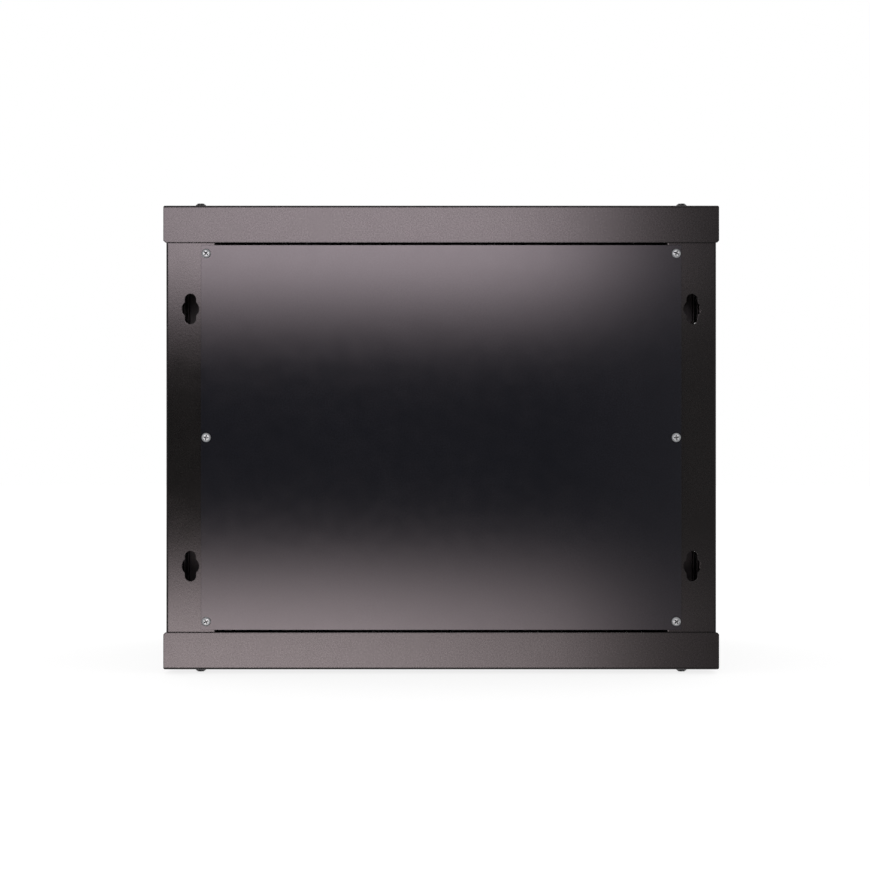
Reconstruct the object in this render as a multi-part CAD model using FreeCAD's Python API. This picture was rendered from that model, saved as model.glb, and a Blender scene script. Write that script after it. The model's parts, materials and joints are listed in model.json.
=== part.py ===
import FreeCAD, Part
import math
import os

# A nine-unit wall cabinet for 19-inch equipment, in millimetres.
# The origin is the middle of the four wall keyholes, on the wall plane. +Z is up, the wall is
# at y = 0 and the glass door faces -Y. "Left" and "right" are seen from in front of the door.

V = FreeCAD.Vector
X, Y, Z = V(1, 0, 0), V(0, 1, 0), V(0, 0, 1)

# ---- overall sizes ----
WIDTH = 600.0            # across the covers
DEPTH = 450.0            # from the wall to the covers' front face
RACK_UNITS = 9
UNIT = 44.45             # height of one rack unit
HEADROOM = 100.95        # height of the cabinet over its rack units
HEIGHT = RACK_UNITS * UNIT + HEADROOM

# ---- covers ----
COVER_SHEET = 1.2
COVER_FLANGE = 40.0      # height of the front and rear flanges
SIDE_FLANGE_SHORTER = 2.5
COVER_BEND = 2.0         # outer bend radius
CORNER_SLIT = 0.6        # gap between a side flange and the end flange that laps it
CORNER_RELIEF_R = 1.5
CORNER_CHAMFER = 2.0
FAN_PITCH = 105.0        # hole square of a 120 mm fan
FAN_HOLE_R = 2.15
FAN_VENT_R = 56.0        # circle that the fan slots fill
FAN_X = 95.0
FAN_SLOT_WIDTH = 7.0
FAN_SLOT_PITCH = 16.0
FAN_SLOT_COUNT = 6
ENTRY_WIDTH = 260.0      # cable entry cut-out
ENTRY_DEPTH = 60.0
ENTRY_FROM_WALL = 40.0
ENTRY_CORNER_R = 6.0
ENTRY_PLATE_LAP = 12.0
EDGING_COVER = 4.0       # how far the rubber edging reaches over the sheet
EDGING_WALL = 1.5

# ---- side frames ----
FRAME_SHEET = 1.5
FRAME_BEND = 0.6         # inner bend radius
SIDE_INSET = 2.5         # frame's outer face inside the cover's edge
REAR_INSET = 4.6         # frame's rear face in front of the wall
REAR_FLANGE = 37.8       # bare strip of the rear flange, with the keyholes
REAR_LEDGE = 16.0        # strip that the rear panel lies on
REAR_RETURN = 12.0
REAR_SIDE = 43.4         # side face of the rear upright
FRONT_SIDE = 30.0        # side face of the front upright
FRONT_FLANGE = 20.5
PANEL_RECESS = 13.0      # depth of the seat of a side panel
PANEL_LEDGE = 14.0
MEMBER_LEG = 51.5        # width of the top and bottom legs that the covers lie on

# ---- wall keyholes ----
KEYHOLE_PITCH_X = 542.5
KEYHOLE_PITCH_Z = 278.0
KEYHOLE_SLOT_WIDTH = 12.0
KEYHOLE_LENGTH = 33.0
KEYHOLE_CIRCLE_R = 9.3
KEYHOLE_BLEND_R = 2.5

# ---- rear panel ----
REAR_PANEL_SHEET = 1.2
REAR_PANEL_END_GAP = 2.5
REAR_SCREW_FROM_EDGE_X = 5.7
REAR_SCREW_FROM_EDGE_Z = 9.0

# ---- side panels ----
PANEL_SHEET = 1.0
PANEL_BEND = 2.0
PANEL_GAP = 1.5
PANEL_SEAT_GAP = 0.3
PANEL_SLOT_LENGTH = 160.0
PANEL_SLOT_WIDTH = 5.0
PANEL_SLOT_PITCH = 13.0
PANEL_SLOT_COUNT = 4
PANEL_SLOT_FIRST_Z = 92.0
HOOK_TO_RAIL = 4.0       # from a panel's rear hook to the rear rail in front of it
HOOK_WIDTH = 30.0
HOOK_SHEET = 1.5
HOOK_REACH = 12.0        # past the ledge
HOOK_LEG = 18.0
HOOK_GAP = 1.25          # around a hook in its slot
HOOK_ABOVE_EDGE = 5.0    # hook's underside over the panel's lower edge

# ---- front door ----
DOOR_THICKNESS = 18.0
DOOR_SHEET = 1.2
DOOR_BEND = 2.0
DOOR_GAP = 2.0           # to the covers' flanges and inside their sides
DOOR_STILE = 62.0
DOOR_RAIL = 45.0
DOOR_RETURN = 15.0
DOOR_TO_FRAME = 5.0
WINDOW_CORNER_R = 6.0
GLASS_THICKNESS = 5.0
GLASS_LAP = 10.0
TAPE_THICKNESS = 1.0
TAPE_WIDTH = 8.0
DOOR_SLOT_LENGTH = 30.0
DOOR_SLOT_WIDTH = 4.5
DOOR_SLOT_PITCH = 16.0
DOOR_SLOT_COUNT = 3
DOOR_SLOT_FIRST_Z = 80.0
CLIP_WIDTH = 18.0
CLIP_SHEET = 1.0
CLIP_LIP = 9.0
CLIP_FOOT = 11.0
CLIP_EDGE_GAP = 1.6
CLIP_HALF_SPAN = 40.0    # side clips above and below the middle

# ---- door hinge ----
PIN_R = 3.0
PIN_FROM_EDGE = 9.0      # axis to the door's outer faces
PIN_FIT = 0.05           # radial running clearance
PIN_COLLAR_R = 4.6
PIN_COLLAR_HEIGHT = 2.0
PIN_COLLAR_GAP = 0.3
PIN_KNOB_R = 4.5
PIN_KNOB_HEIGHT = 8.0
PIN_PAST_BRACKET = 2.0
SPRING_HEIGHT = 20.5
SPRING_WIRE = 0.8
SPRING_TURNS = 4
SPRING_PLAY = 0.3
GUIDE_SHEET = 1.5
GUIDE_SKIRT = 10.0       # knob side of the pin under its guide
BRACKET_SHEET = 2.0
BRACKET_LIFT = 3.5       # bracket over the door's edge
BRACKET_LEG = 23.0
BRACKET_FROM_FLANGE = 1.3

# ---- 19-inch rails ----
RAIL_OPENING = 450.0     # clear between a pair of rails
RAIL_HOLE_SPAN = 465.1   # between the two columns of holes
RAIL_HOLE = 9.5          # square
RAIL_FACE = 23.0
RAIL_WEB = 30.0
RAIL_SHEET = 1.5
RAIL_LIP = 8.0
RAIL_END = 6.475         # rail past the rack units, at each end
REAR_RAIL_SETBACK = 62.0
FRONT_RAIL_SETBACK = 65.0
UNIT_HOLES = (6.35, 22.225, 38.1)
FOOT_WIDTH = 26.0
FOOT_LENGTH = 22.0
DEPTH_BRACKET_LEG = 32.0
DEPTH_BRACKET_SLOT = 60.0

# ---- fasteners: head radius, head height, shank radius ----
M6_SCREW = (6.0, 4.4, 3.0)
M5_SCREW = (5.0, 3.2, 2.5)
M4_SCREW = (3.5, 2.2, 2.0)
SCREW_FIT = 0.05
SLOT_PLAY = 0.5
M6_NUT = (10.0, 5.0)     # across flats, height
COVER_BOLT_FROM_SIDE = 38.0
COVER_BOLT_FROM_WALL = 25.0
COVER_BOLT_FROM_FRONT = 40.0
COVER_BOLT_LENGTH = 12.0
RAIL_BOLT_LENGTH = 8.0

# ---- cam locks: head radius, head height, barrel radius, plug radius, cam width, cam reach ----
DOOR_LOCK = (11.0, 3.0, 9.5, 6.0, 16.0, 28.0)
PANEL_LOCK = (9.5, 2.5, 8.0, 5.0, 14.0, 28.0)
LOCK_FIT = 0.05
LOCK_NUT_HEIGHT = 3.0
CAM_SHEET = 2.0
CAM_SCREW_R = 3.5
CAM_SCREW_HEIGHT = 2.0
DOOR_LOCK_FROM_FLANGE = 13.0
DOOR_CAM_GAP = 0.5
PANEL_CAM_GAP = 0.3
PANEL_LOCK_FROM_TOP = 33.0
BUFFER_R = 5.0
BUFFER_GAP = 0.3
BUFFER_Z = 150.0
EARTH_STUD_LENGTH = 16.0
EARTH_STUD_FROM_WALL = 150.0

# ---- places worked out from the sizes above ----
top_z = HEIGHT / 2
inner_top_z = top_z - COVER_SHEET
opening_z = top_z - COVER_FLANGE
side_x = WIDTH / 2 - SIDE_INSET
ledge_x = side_x - PANEL_RECESS
ledge_inner_x = ledge_x - FRAME_SHEET
rear_panel_x = side_x - REAR_FLANGE
rear_opening_x = rear_panel_x - REAR_LEDGE
rear_panel_y = -REAR_INSET + REAR_PANEL_SHEET
rear_side_y = -REAR_INSET - REAR_SIDE
door_back_y = -DEPTH + DOOR_THICKNESS
frame_front_y = door_back_y + DOOR_TO_FRAME
front_side_y = frame_front_y + FRONT_SIDE
front_opening_x = side_x - FRONT_FLANGE
side_middle_y = (rear_side_y + front_side_y) / 2
door_x = WIDTH / 2 - DOOR_GAP
door_z = opening_z - DOOR_GAP
window_x = door_x - DOOR_STILE
window_z = door_z - DOOR_RAIL
glass_front_y = -DEPTH + DOOR_SHEET + TAPE_THICKNESS
glass_back_y = glass_front_y + GLASS_THICKNESS
pin_x = -door_x + PIN_FROM_EDGE
pin_y = -DEPTH + PIN_FROM_EDGE
rail_end_z = RACK_UNITS * UNIT / 2 + RAIL_END
foot_top_z = rail_end_z + RAIL_SHEET
rail_edge_x = ledge_inner_x - 0.1
foot_x = ledge_inner_x - DEPTH_BRACKET_LEG / 2
rear_rail_y = -REAR_RAIL_SETBACK
front_rail_y = -DEPTH + FRONT_RAIL_SETBACK
hook_offset = rear_rail_y - RAIL_WEB - RAIL_SHEET - HOOK_TO_RAIL - HOOK_WIDTH / 2 - side_middle_y
cover_bolt_x = WIDTH / 2 - COVER_BOLT_FROM_SIDE
cover_bolt_ys = (-COVER_BOLT_FROM_WALL, -DEPTH + COVER_BOLT_FROM_FRONT)
CUT_REACH = 6.0          # of a cutter, on each side of a sheet
BIG = 2 * (WIDTH + DEPTH + HEIGHT)


# ---- drawing helpers ----
def block(x0, x1, y0, y1, z0, z1):
    """A box between two limits on each axis."""
    return Part.makeBox(x1 - x0, y1 - y0, z1 - z0, V(x0, y0, z0))


def placed(shape, origin, normal, along):
    """A copy of a shape drawn at the origin, with its Z turned to normal and its X to along."""
    turn = FreeCAD.Rotation(along, normal.cross(along), normal, "ZXY")
    result = shape.copy()
    result.Placement = FreeCAD.Placement(origin, turn).multiply(shape.Placement)
    return result


def bent_strip(points, sheet, inner_radius):
    """A strip of sheet on the left of an open line in XY, with every corner bent round."""
    line = [V(px, py, 0) for px, py in points]
    ways = [(b - a).normalize() for a, b in zip(line, line[1:])]
    lefts = [Z.cross(way) for way in ways]
    outer, inner = [], []
    start, start_off = line[0], line[0] + lefts[0] * sheet
    for corner, before, after, left, next_left in zip(line[1:], ways, ways[1:], lefts, lefts[1:]):
        turn = before.cross(after).z
        side = 1 if turn > 0 else -1
        radius = inner_radius + (sheet if turn > 0 else 0)
        radius_off = radius - side * sheet
        cut_back = radius * math.tan(before.getAngle(after) / 2)
        first, last = corner - before * cut_back, corner + after * cut_back
        centre = first + left * (side * radius)
        out = (corner - centre).normalize()
        outer += [Part.makeLine(start, first), Part.Arc(first, centre + out * radius, last).toShape()]
        first_off, last_off = first + left * sheet, last + next_left * sheet
        inner += [Part.makeLine(start_off, first_off),
                  Part.Arc(first_off, centre + out * radius_off, last_off).toShape()]
        start, start_off = last, last_off
    end, end_off = line[-1], line[-1] + lefts[-1] * sheet
    outer.append(Part.makeLine(start, end))
    inner.append(Part.makeLine(start_off, end_off))
    ends = [Part.makeLine(line[0], line[0] + lefts[0] * sheet), Part.makeLine(end, end_off)]
    edges = Part.__sortEdges__(outer + inner + ends)
    return Part.Face(Part.Wire(edges))


def upright_bar(points, z0, z1, sheet=FRAME_SHEET):
    """A bent strip drawn in (x, y) that runs along Z."""
    face = bent_strip(points, sheet, FRAME_BEND)
    return placed(face, V(0, 0, z0), Z, X).extrude(V(0, 0, z1 - z0))


def depth_bar(points, y0, y1, sheet=FRAME_SHEET):
    """A bent strip drawn in (x, z) that runs along Y."""
    face = bent_strip(points, sheet, FRAME_BEND)
    return placed(face, V(0, y0, 0), -Y, X).extrude(V(0, y1 - y0, 0))


def cross_bar(points, x0, x1, sheet):
    """A bent strip drawn in (y, z) that runs along X."""
    face = bent_strip(points, sheet, FRAME_BEND)
    return placed(face, V(x0, 0, 0), X, Y).extrude(V(x1 - x0, 0, 0))


def obround(length, width):
    """A slot's outline as a face in XY, round at both ends, with its length along X."""
    radius, half = width / 2, (length - width) / 2
    edges = [
        Part.makeLine(V(-half, -radius, 0), V(half, -radius, 0)),
        Part.Arc(V(half, -radius, 0), V(half + radius, 0, 0), V(half, radius, 0)).toShape(),
        Part.makeLine(V(half, radius, 0), V(-half, radius, 0)),
        Part.Arc(V(-half, radius, 0), V(-half - radius, 0, 0), V(-half, -radius, 0)).toShape(),
    ]
    return Part.Face(Part.Wire(edges))


def slot_tool(length, width, depth):
    """A cutter for a slot, as deep on both sides of the origin."""
    return obround(length, width).extrude(Z * (2 * depth)).translated(Z * -depth)


def rounded_block(x0, x1, y0, y1, z0, z1, radius):
    """A box with its four upright edges round."""
    shape = block(x0, x1, y0, y1, z0, z1)
    uprights = [e for e in shape.Edges if abs(e.tangentAt(e.FirstParameter).z) > 0.9]
    return shape.makeFillet(radius, uprights)


def edges_on(shape, axis, value):
    """The straight edges that lie wholly in a plane across an axis."""
    found = []
    for edge in shape.Edges:
        if all(abs(vertex.Point.dot(axis) - value) < 1e-6 for vertex in edge.Vertexes):
            found.append(edge)
    return found


def turned(outline):
    """A solid turned about Z from a closed outline of (radius, height) points."""
    points = [V(radius, 0, height) for radius, height in outline]
    return Part.Face(Part.makePolygon(points + points[:1])).revolve(V(0, 0, 0), Z, 360)


def screw(size, length):
    """A screw with a plain head on +Z of the seat at z = 0."""
    head_r, head_height, shank_r = size
    return turned([(0, -length), (shank_r, -length), (shank_r, 0), (head_r, 0),
                   (head_r, head_height), (0, head_height)])


def hex_nut(size, bore_r):
    """A nut that stands on z = 0."""
    flats, height = size
    corner = flats / 2 / math.cos(math.pi / 6)
    turns = [math.pi / 3 * i for i in range(7)]
    outline = Part.makePolygon([V(corner * math.cos(a), corner * math.sin(a), 0) for a in turns])
    return Part.Face(outline).extrude(Z * height).cut(Part.makeCylinder(bore_r, height))


def mirrored(shape, axis):
    """The same shape on the other side of the middle plane across an axis."""
    return shape.mirror(V(0, 0, 0), axis)


def hole(radius, centre, axis):
    """A cutter for a round hole through one sheet near a point."""
    return Part.makeCylinder(radius, 2 * CUT_REACH, centre - axis * CUT_REACH, axis)


# ---- covers ----
def cover_pan():
    """The folded pan of the top cover: a plate with four flanges, slit at its corners."""
    half = WIDTH / 2
    low = opening_z
    outer = block(-half, half, -DEPTH, 0, low, top_z)
    outer = outer.makeFillet(COVER_BEND, edges_on(outer, Z, top_z))
    inner = block(-half + COVER_SHEET, half - COVER_SHEET, -DEPTH + COVER_SHEET, -COVER_SHEET,
                  low - 1, inner_top_z)
    inner = inner.makeFillet(COVER_BEND - COVER_SHEET, edges_on(inner, Z, inner_top_z))
    pan = outer.cut(inner)
    slit_top = top_z - COVER_BEND - CORNER_RELIEF_R
    cutters = []
    for side in (-1, 1):
        x_out = side * half
        x_in = side * (half - COVER_SHEET - 1)
        x0, x1 = min(x_out, x_in), max(x_out, x_in)
        cutters.append(block(x0 - 1, x1 + 1, -DEPTH + COVER_SHEET, -COVER_SHEET, low - 1,
                             low + SIDE_FLANGE_SHORTER))
        for flange_y, inward in ((-COVER_SHEET, -1), (-DEPTH + COVER_SHEET, 1)):
            y0 = min(flange_y, flange_y + inward * CORNER_SLIT)
            cutters.append(block(x0 - 1, x1 + 1, y0, y0 + CORNER_SLIT, low - 1, slit_top))
            relief = V(x_out, flange_y + inward * CORNER_RELIEF_R, slit_top)
            cutters.append(hole(CORNER_RELIEF_R, relief, X))
        for y0 in (-COVER_SHEET, -DEPTH):
            corner = V(x_out, y0, low)
            wedge = Part.makePolygon([corner, corner - X * (side * CORNER_CHAMFER),
                                      corner + Z * CORNER_CHAMFER, corner])
            cutters.append(Part.Face(wedge).extrude(Y * COVER_SHEET))
        for bolt_y in cover_bolt_ys:
            centre = V(side * cover_bolt_x, bolt_y, top_z)
            cutters.append(hole(M6_SCREW[2] + SCREW_FIT, centre, Z))
    cutters.append(entry_cutout(top_z))
    return pan.cut(Part.makeCompound(cutters))


def entry_cutout(z, grow=0.0, reach=CUT_REACH):
    """The cable entry's outline, as a cutter through a cover."""
    half = ENTRY_WIDTH / 2 + grow
    rear_y = -ENTRY_FROM_WALL + grow
    front_y = -ENTRY_FROM_WALL - ENTRY_DEPTH - grow
    return rounded_block(-half, half, front_y, rear_y, z - reach, z + reach, ENTRY_CORNER_R + grow)


def fan_cutters():
    """Slots and screw holes of the two fan places in the top cover."""
    cutters = []
    middle = (FAN_SLOT_COUNT - 1) / 2
    for side in (-1, 1):
        centre = V(side * FAN_X, side_middle_y, top_z)
        for row in range(FAN_SLOT_COUNT):
            offset = (row - middle) * FAN_SLOT_PITCH
            length = 2 * math.sqrt(FAN_VENT_R ** 2 - offset ** 2)
            tool = slot_tool(length, FAN_SLOT_WIDTH, 3)
            cutters.append(tool.translated(centre + Y * offset))
        for dx in (-1, 1):
            for dy in (-1, 1):
                corner = centre + V(dx * FAN_PITCH / 2, dy * FAN_PITCH / 2, 0)
                cutters.append(hole(FAN_HOLE_R, corner, Z))
    return cutters


def entry_screw_places():
    """Centres of the two screws of the cable entry plate."""
    half = ENTRY_WIDTH / 2 + ENTRY_PLATE_LAP / 2
    return [V(x, -ENTRY_FROM_WALL - ENTRY_DEPTH / 2, top_z) for x in (-half, half)]


def build_covers(nodes):
    """Both covers, their bolts, the entry plate above and the rubber edging below."""
    pan = cover_pan()
    screw_holes = [hole(M4_SCREW[2] + SCREW_FIT, p, Z) for p in entry_screw_places()]
    nodes["top_cover"] = pan.cut(Part.makeCompound(fan_cutters() + screw_holes))
    nodes["bottom_cover"] = mirrored(pan, Z)
    bolt = screw(M6_SCREW, COVER_BOLT_LENGTH)
    places = [V(s * cover_bolt_x, y, top_z) for s in (-1, 1) for y in cover_bolt_ys]
    bolts = Part.makeCompound([bolt.translated(p) for p in places])
    nodes["top_cover_bolts"] = bolts
    nodes["bottom_cover_bolts"] = mirrored(bolts, Z)
    plate = entry_cutout(inner_top_z - COVER_SHEET / 2, ENTRY_PLATE_LAP, COVER_SHEET / 2)
    nodes["cable_entry_plate"] = plate.cut(Part.makeCompound(screw_holes))
    entry_screw = screw(M4_SCREW, 5)
    nodes["cable_entry_screws"] = Part.makeCompound(
        [entry_screw.translated(p) for p in entry_screw_places()])
    reach = COVER_SHEET / 2 + EDGING_WALL
    sheet_z = -top_z + COVER_SHEET / 2
    ring = entry_cutout(sheet_z, EDGING_COVER, reach)
    ring = ring.cut(entry_cutout(sheet_z, -EDGING_WALL, reach))
    sheet = block(-BIG, BIG, -BIG, BIG, -top_z, -inner_top_z).cut(entry_cutout(sheet_z))
    nodes["cable_entry_edging"] = ring.cut(sheet)


# ---- side frames ----
def keyhole_tool():
    """Cutter of a wall keyhole: a wide middle with a narrow slot above and below it."""
    slot = placed(slot_tool(KEYHOLE_LENGTH, KEYHOLE_SLOT_WIDTH, CUT_REACH), V(0, 0, 0), Y, Z)
    tool = slot.fuse(hole(KEYHOLE_CIRCLE_R, V(0, 0, 0), Y)).removeSplitter()
    corner_z = math.sqrt(KEYHOLE_CIRCLE_R ** 2 - (KEYHOLE_SLOT_WIDTH / 2) ** 2)
    corners = []
    for edge in tool.Edges:
        middle = edge.valueAt((edge.FirstParameter + edge.LastParameter) / 2)
        straight = abs(edge.Length - 2 * CUT_REACH) < 1e-6 and abs(middle.y) < 1e-6
        if straight and abs(abs(middle.z) - corner_z) < 1e-3:
            corners.append(edge)
    return tool.makeFillet(KEYHOLE_BLEND_R, corners)


def side_frame():
    """The right-hand frame: two uprights welded to a top and a bottom member."""
    end_z = inner_top_z - FRAME_SHEET / 2
    rear = upright_bar([
        (ledge_x, rear_side_y - PANEL_LEDGE), (ledge_x, rear_side_y), (side_x, rear_side_y),
        (side_x, -REAR_INSET), (rear_opening_x, -REAR_INSET),
        (rear_opening_x, -REAR_INSET - REAR_RETURN),
    ], -end_z, end_z)
    front = upright_bar([
        (front_opening_x, frame_front_y), (side_x, frame_front_y), (side_x, front_side_y),
        (ledge_x, front_side_y), (ledge_x, front_side_y + PANEL_LEDGE),
    ], -end_z, end_z)
    leg = [(side_x, opening_z), (side_x, inner_top_z), (side_x - MEMBER_LEG, inner_top_z)]
    angle = depth_bar(leg, frame_front_y, -REAR_INSET)
    ledge = depth_bar([(ledge_x, opening_z - PANEL_LEDGE), (ledge_x, opening_z)] + leg,
                      front_side_y, rear_side_y)
    member = angle.fuse(ledge)
    frame = rear.fuse([front, member, mirrored(member, Z)])
    cutters = []
    keyhole = keyhole_tool()
    for end in (-1, 1):
        cutters.append(keyhole.translated(V(KEYHOLE_PITCH_X / 2, -REAR_INSET, end * KEYHOLE_PITCH_Z / 2)))
        for bolt_y in cover_bolt_ys:
            centre = V(cover_bolt_x, bolt_y, end * inner_top_z)
            cutters.append(hole(M6_SCREW[2] + SCREW_FIT, centre, Z))
        cutters.append(hook_slot(end))
    for place in rear_screw_places():
        if place.x > 0:
            cutters.append(hole(M5_SCREW[2] + SCREW_FIT, place, Y))
    return frame.cut(Part.makeCompound(cutters)).removeSplitter()


def hook_slot(end):
    """The slot in the lower ledge for the front (-1) or rear (1) hook of a side panel."""
    y = side_middle_y + end * hook_offset
    low = -opening_z + PANEL_GAP + HOOK_ABOVE_EDGE
    return block(ledge_inner_x - 1, ledge_x + 1, y - HOOK_WIDTH / 2 - HOOK_GAP,
                 y + HOOK_WIDTH / 2 + HOOK_GAP, low - HOOK_GAP, low + HOOK_SHEET + HOOK_GAP)


def build_side_frames(nodes):
    """The two welded frames, and the earth stud on the left one's bottom member."""
    frame = side_frame()
    nodes["right_side_frame"] = frame
    nodes["left_side_frame"] = mirrored(frame, X)
    foot = V(-cover_bolt_x, -EARTH_STUD_FROM_WALL, -inner_top_z + FRAME_SHEET)
    nodes["earth_stud"] = Part.makeCylinder(M6_SCREW[2], EARTH_STUD_LENGTH, foot)
    nodes["earth_nut"] = hex_nut(M6_NUT, M6_SCREW[2] + SCREW_FIT).translated(foot)


# ---- rear panel ----
def rear_screw_places():
    """Centres of the six screws, on the rear panel's outer face."""
    x = rear_panel_x - REAR_SCREW_FROM_EDGE_X
    z = opening_z - REAR_PANEL_END_GAP - REAR_SCREW_FROM_EDGE_Z
    return [V(sx * x, rear_panel_y, row * z) for sx in (-1, 1) for row in (-1, 0, 1)]


def build_rear_panel(nodes):
    """The flat rear panel on the frames' rear flanges, and its screws."""
    z = opening_z - REAR_PANEL_END_GAP
    sheet = block(-rear_panel_x, rear_panel_x, -REAR_INSET, rear_panel_y, -z, z)
    holes = [hole(M5_SCREW[2] + SCREW_FIT, p, Y) for p in rear_screw_places()]
    nodes["rear_panel"] = sheet.cut(Part.makeCompound(holes))
    one = placed(screw(M5_SCREW, 10), V(0, 0, 0), Y, X)
    nodes["rear_panel_screws"] = Part.makeCompound([one.translated(p) for p in rear_screw_places()])


# ---- 19-inch rails and the brackets that carry them ----
def depth_bracket():
    """The upper right angle, welded to the ledges, that carries one front and one rear rail."""
    points = [(ledge_inner_x - DEPTH_BRACKET_LEG, foot_top_z), (ledge_inner_x, foot_top_z),
              (ledge_inner_x, foot_top_z + DEPTH_BRACKET_LEG)]
    shape = depth_bar(points, front_side_y + COVER_BEND, rear_side_y - COVER_BEND)
    tool = slot_tool(DEPTH_BRACKET_SLOT, 2 * M6_SCREW[2] + SLOT_PLAY, 3)
    cutters = []
    for end in (-1, 1):
        inward = -end * (DEPTH_BRACKET_SLOT / 2 - 2 * M6_SCREW[2])
        cutters.append(placed(tool, V(foot_x, foot_bolt_y(end) + inward, foot_top_z), Z, Y))
    return shape.cut(Part.makeCompound(cutters))


def foot_bolt_y(end):
    """Where a rail's foot is bolted: end is -1 for a front rail and 1 for a rear one."""
    face_y = rear_rail_y if end > 0 else front_rail_y
    return face_y - end * (RAIL_WEB + RAIL_SHEET - FOOT_LENGTH / 2 - RAIL_SHEET)


def rear_right_rail():
    """A rail of Z section with a lip, square holes in its face and a foot at each end."""
    back_y = rear_rail_y - RAIL_WEB
    face_x = RAIL_OPENING / 2
    rail = upright_bar([
        (rail_edge_x - RAIL_SHEET, back_y + RAIL_LIP), (rail_edge_x - RAIL_SHEET, back_y),
        (face_x + RAIL_FACE, back_y), (face_x + RAIL_FACE, rear_rail_y), (face_x, rear_rail_y),
    ], -rail_end_z, rail_end_z, RAIL_SHEET)
    foot = block(foot_x - FOOT_WIDTH / 2, foot_x + FOOT_WIDTH / 2, back_y - RAIL_SHEET,
                 back_y - RAIL_SHEET + FOOT_LENGTH, rail_end_z, foot_top_z)
    foot = foot.cut(hole(M6_SCREW[2] + SCREW_FIT, V(foot_x, foot_bolt_y(1), foot_top_z), Z))
    rail = rail.fuse([foot, mirrored(foot, Z)])
    cutters = []
    half = RAIL_HOLE / 2
    centre_x = RAIL_HOLE_SPAN / 2
    for unit in range(RACK_UNITS):
        base = -RACK_UNITS * UNIT / 2 + unit * UNIT
        for rise in UNIT_HOLES:
            cutters.append(block(centre_x - half, centre_x + half, rear_rail_y - 3, rear_rail_y + 1,
                                 base + rise - half, base + rise + half))
    return rail.cut(Part.makeCompound(cutters))


def build_rails(nodes):
    """Four rails, four depth brackets and the bolts that go down into the rails' feet."""
    rear = rear_right_rail()
    front = mirrored(rear, Y).translated(Y * (rear_rail_y + front_rail_y))
    bracket = depth_bracket()
    nodes["rear_right_rail"] = rear
    nodes["rear_left_rail"] = mirrored(rear, X)
    nodes["front_right_rail"] = front
    nodes["front_left_rail"] = mirrored(front, X)
    nodes["upper_right_depth_bracket"] = bracket
    nodes["upper_left_depth_bracket"] = mirrored(bracket, X)
    nodes["lower_right_depth_bracket"] = mirrored(bracket, Z)
    nodes["lower_left_depth_bracket"] = mirrored(mirrored(bracket, X), Z)
    foot_bolt = screw(M6_SCREW, RAIL_BOLT_LENGTH)
    quarter = [foot_bolt.translated(V(foot_x, foot_bolt_y(end), foot_top_z + FRAME_SHEET))
               for end in (-1, 1)]
    half = quarter + [mirrored(bolt, Z) for bolt in quarter]
    nodes["rail_bolts"] = Part.makeCompound(half + [mirrored(bolt, X) for bolt in half])


# ---- cam locks ----
def cam_lock(size, skin, depth):
    """Barrel, nut, plug, cam and cam screw, with +Z out of the skin and the cam along +X."""
    head_r, head_height, barrel_r, plug_r, cam_width, reach = size
    bore_r, slope = plug_r + LOCK_FIT, head_height / 3
    barrel = turned([(bore_r, 1 - depth), (barrel_r, 1 - depth), (barrel_r, 0), (head_r, 0),
                     (head_r, head_height - slope), (head_r - slope, head_height),
                     (bore_r, head_height)])
    nut = hex_nut((2.6 * barrel_r, LOCK_NUT_HEIGHT), barrel_r + LOCK_FIT)
    nut = nut.translated(Z * (-skin - LOCK_NUT_HEIGHT))
    square = plug_r * 1.2
    plug = Part.makeCylinder(plug_r, depth + head_height, V(0, 0, -depth))
    stub = block(-square / 2, square / 2, -square / 2, square / 2, -depth - CAM_SHEET, -depth)
    key_slot = block(-0.7, 0.7, -plug_r * 0.7, plug_r * 0.7, head_height - 7, head_height + 1)
    plug = plug.fuse(stub).cut(key_slot).removeSplitter()
    cam = obround(reach + cam_width / 2, cam_width).extrude(Z * CAM_SHEET)
    cam = cam.translated(V((reach - cam_width / 2) / 2, 0, -depth - CAM_SHEET))
    fit = square / 2 + LOCK_FIT
    cam = cam.cut(block(-fit, fit, -fit, fit, -depth - CAM_SHEET, -depth))
    screw_z = -depth - CAM_SHEET - CAM_SCREW_HEIGHT
    cam_screw = Part.makeCylinder(CAM_SCREW_R, CAM_SCREW_HEIGHT, V(0, 0, screw_z))
    return {"barrel": barrel, "nut": nut, "plug": plug, "cam": cam, "cam_screw": cam_screw}


def build_lock(nodes, prefix, size, skin, depth, origin, normal, along):
    """One cam lock's five pieces in their place."""
    for name, shape in cam_lock(size, skin, depth).items():
        nodes[prefix + "_" + name] = placed(shape, origin, normal, along)


# ---- side panels ----
def side_panel():
    """The right-hand panel: a shallow pan with two groups of slots and a lock hole."""
    y0, y1 = front_side_y + PANEL_GAP, rear_side_y - PANEL_GAP
    z = opening_z - PANEL_GAP
    seat_x = ledge_x + PANEL_SEAT_GAP
    outer = block(seat_x, side_x, y0, y1, -z, z)
    outer = outer.makeFillet(PANEL_BEND, edges_on(outer, X, side_x))
    inner = block(seat_x - 1, side_x - PANEL_SHEET, y0 + PANEL_SHEET, y1 - PANEL_SHEET,
                  -z + PANEL_SHEET, z - PANEL_SHEET)
    inner = inner.makeFillet(PANEL_BEND - PANEL_SHEET, edges_on(inner, X, side_x - PANEL_SHEET))
    cutters = [hole(PANEL_LOCK[2] + LOCK_FIT, panel_lock_place(), X)]
    tool = slot_tool(PANEL_SLOT_LENGTH, PANEL_SLOT_WIDTH, 3)
    for end in (-1, 1):
        for row in range(PANEL_SLOT_COUNT):
            z_row = end * (PANEL_SLOT_FIRST_Z + row * PANEL_SLOT_PITCH)
            cutters.append(placed(tool, V(side_x, side_middle_y, z_row), X, Y))
    return outer.cut(inner).cut(Part.makeCompound(cutters))


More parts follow.
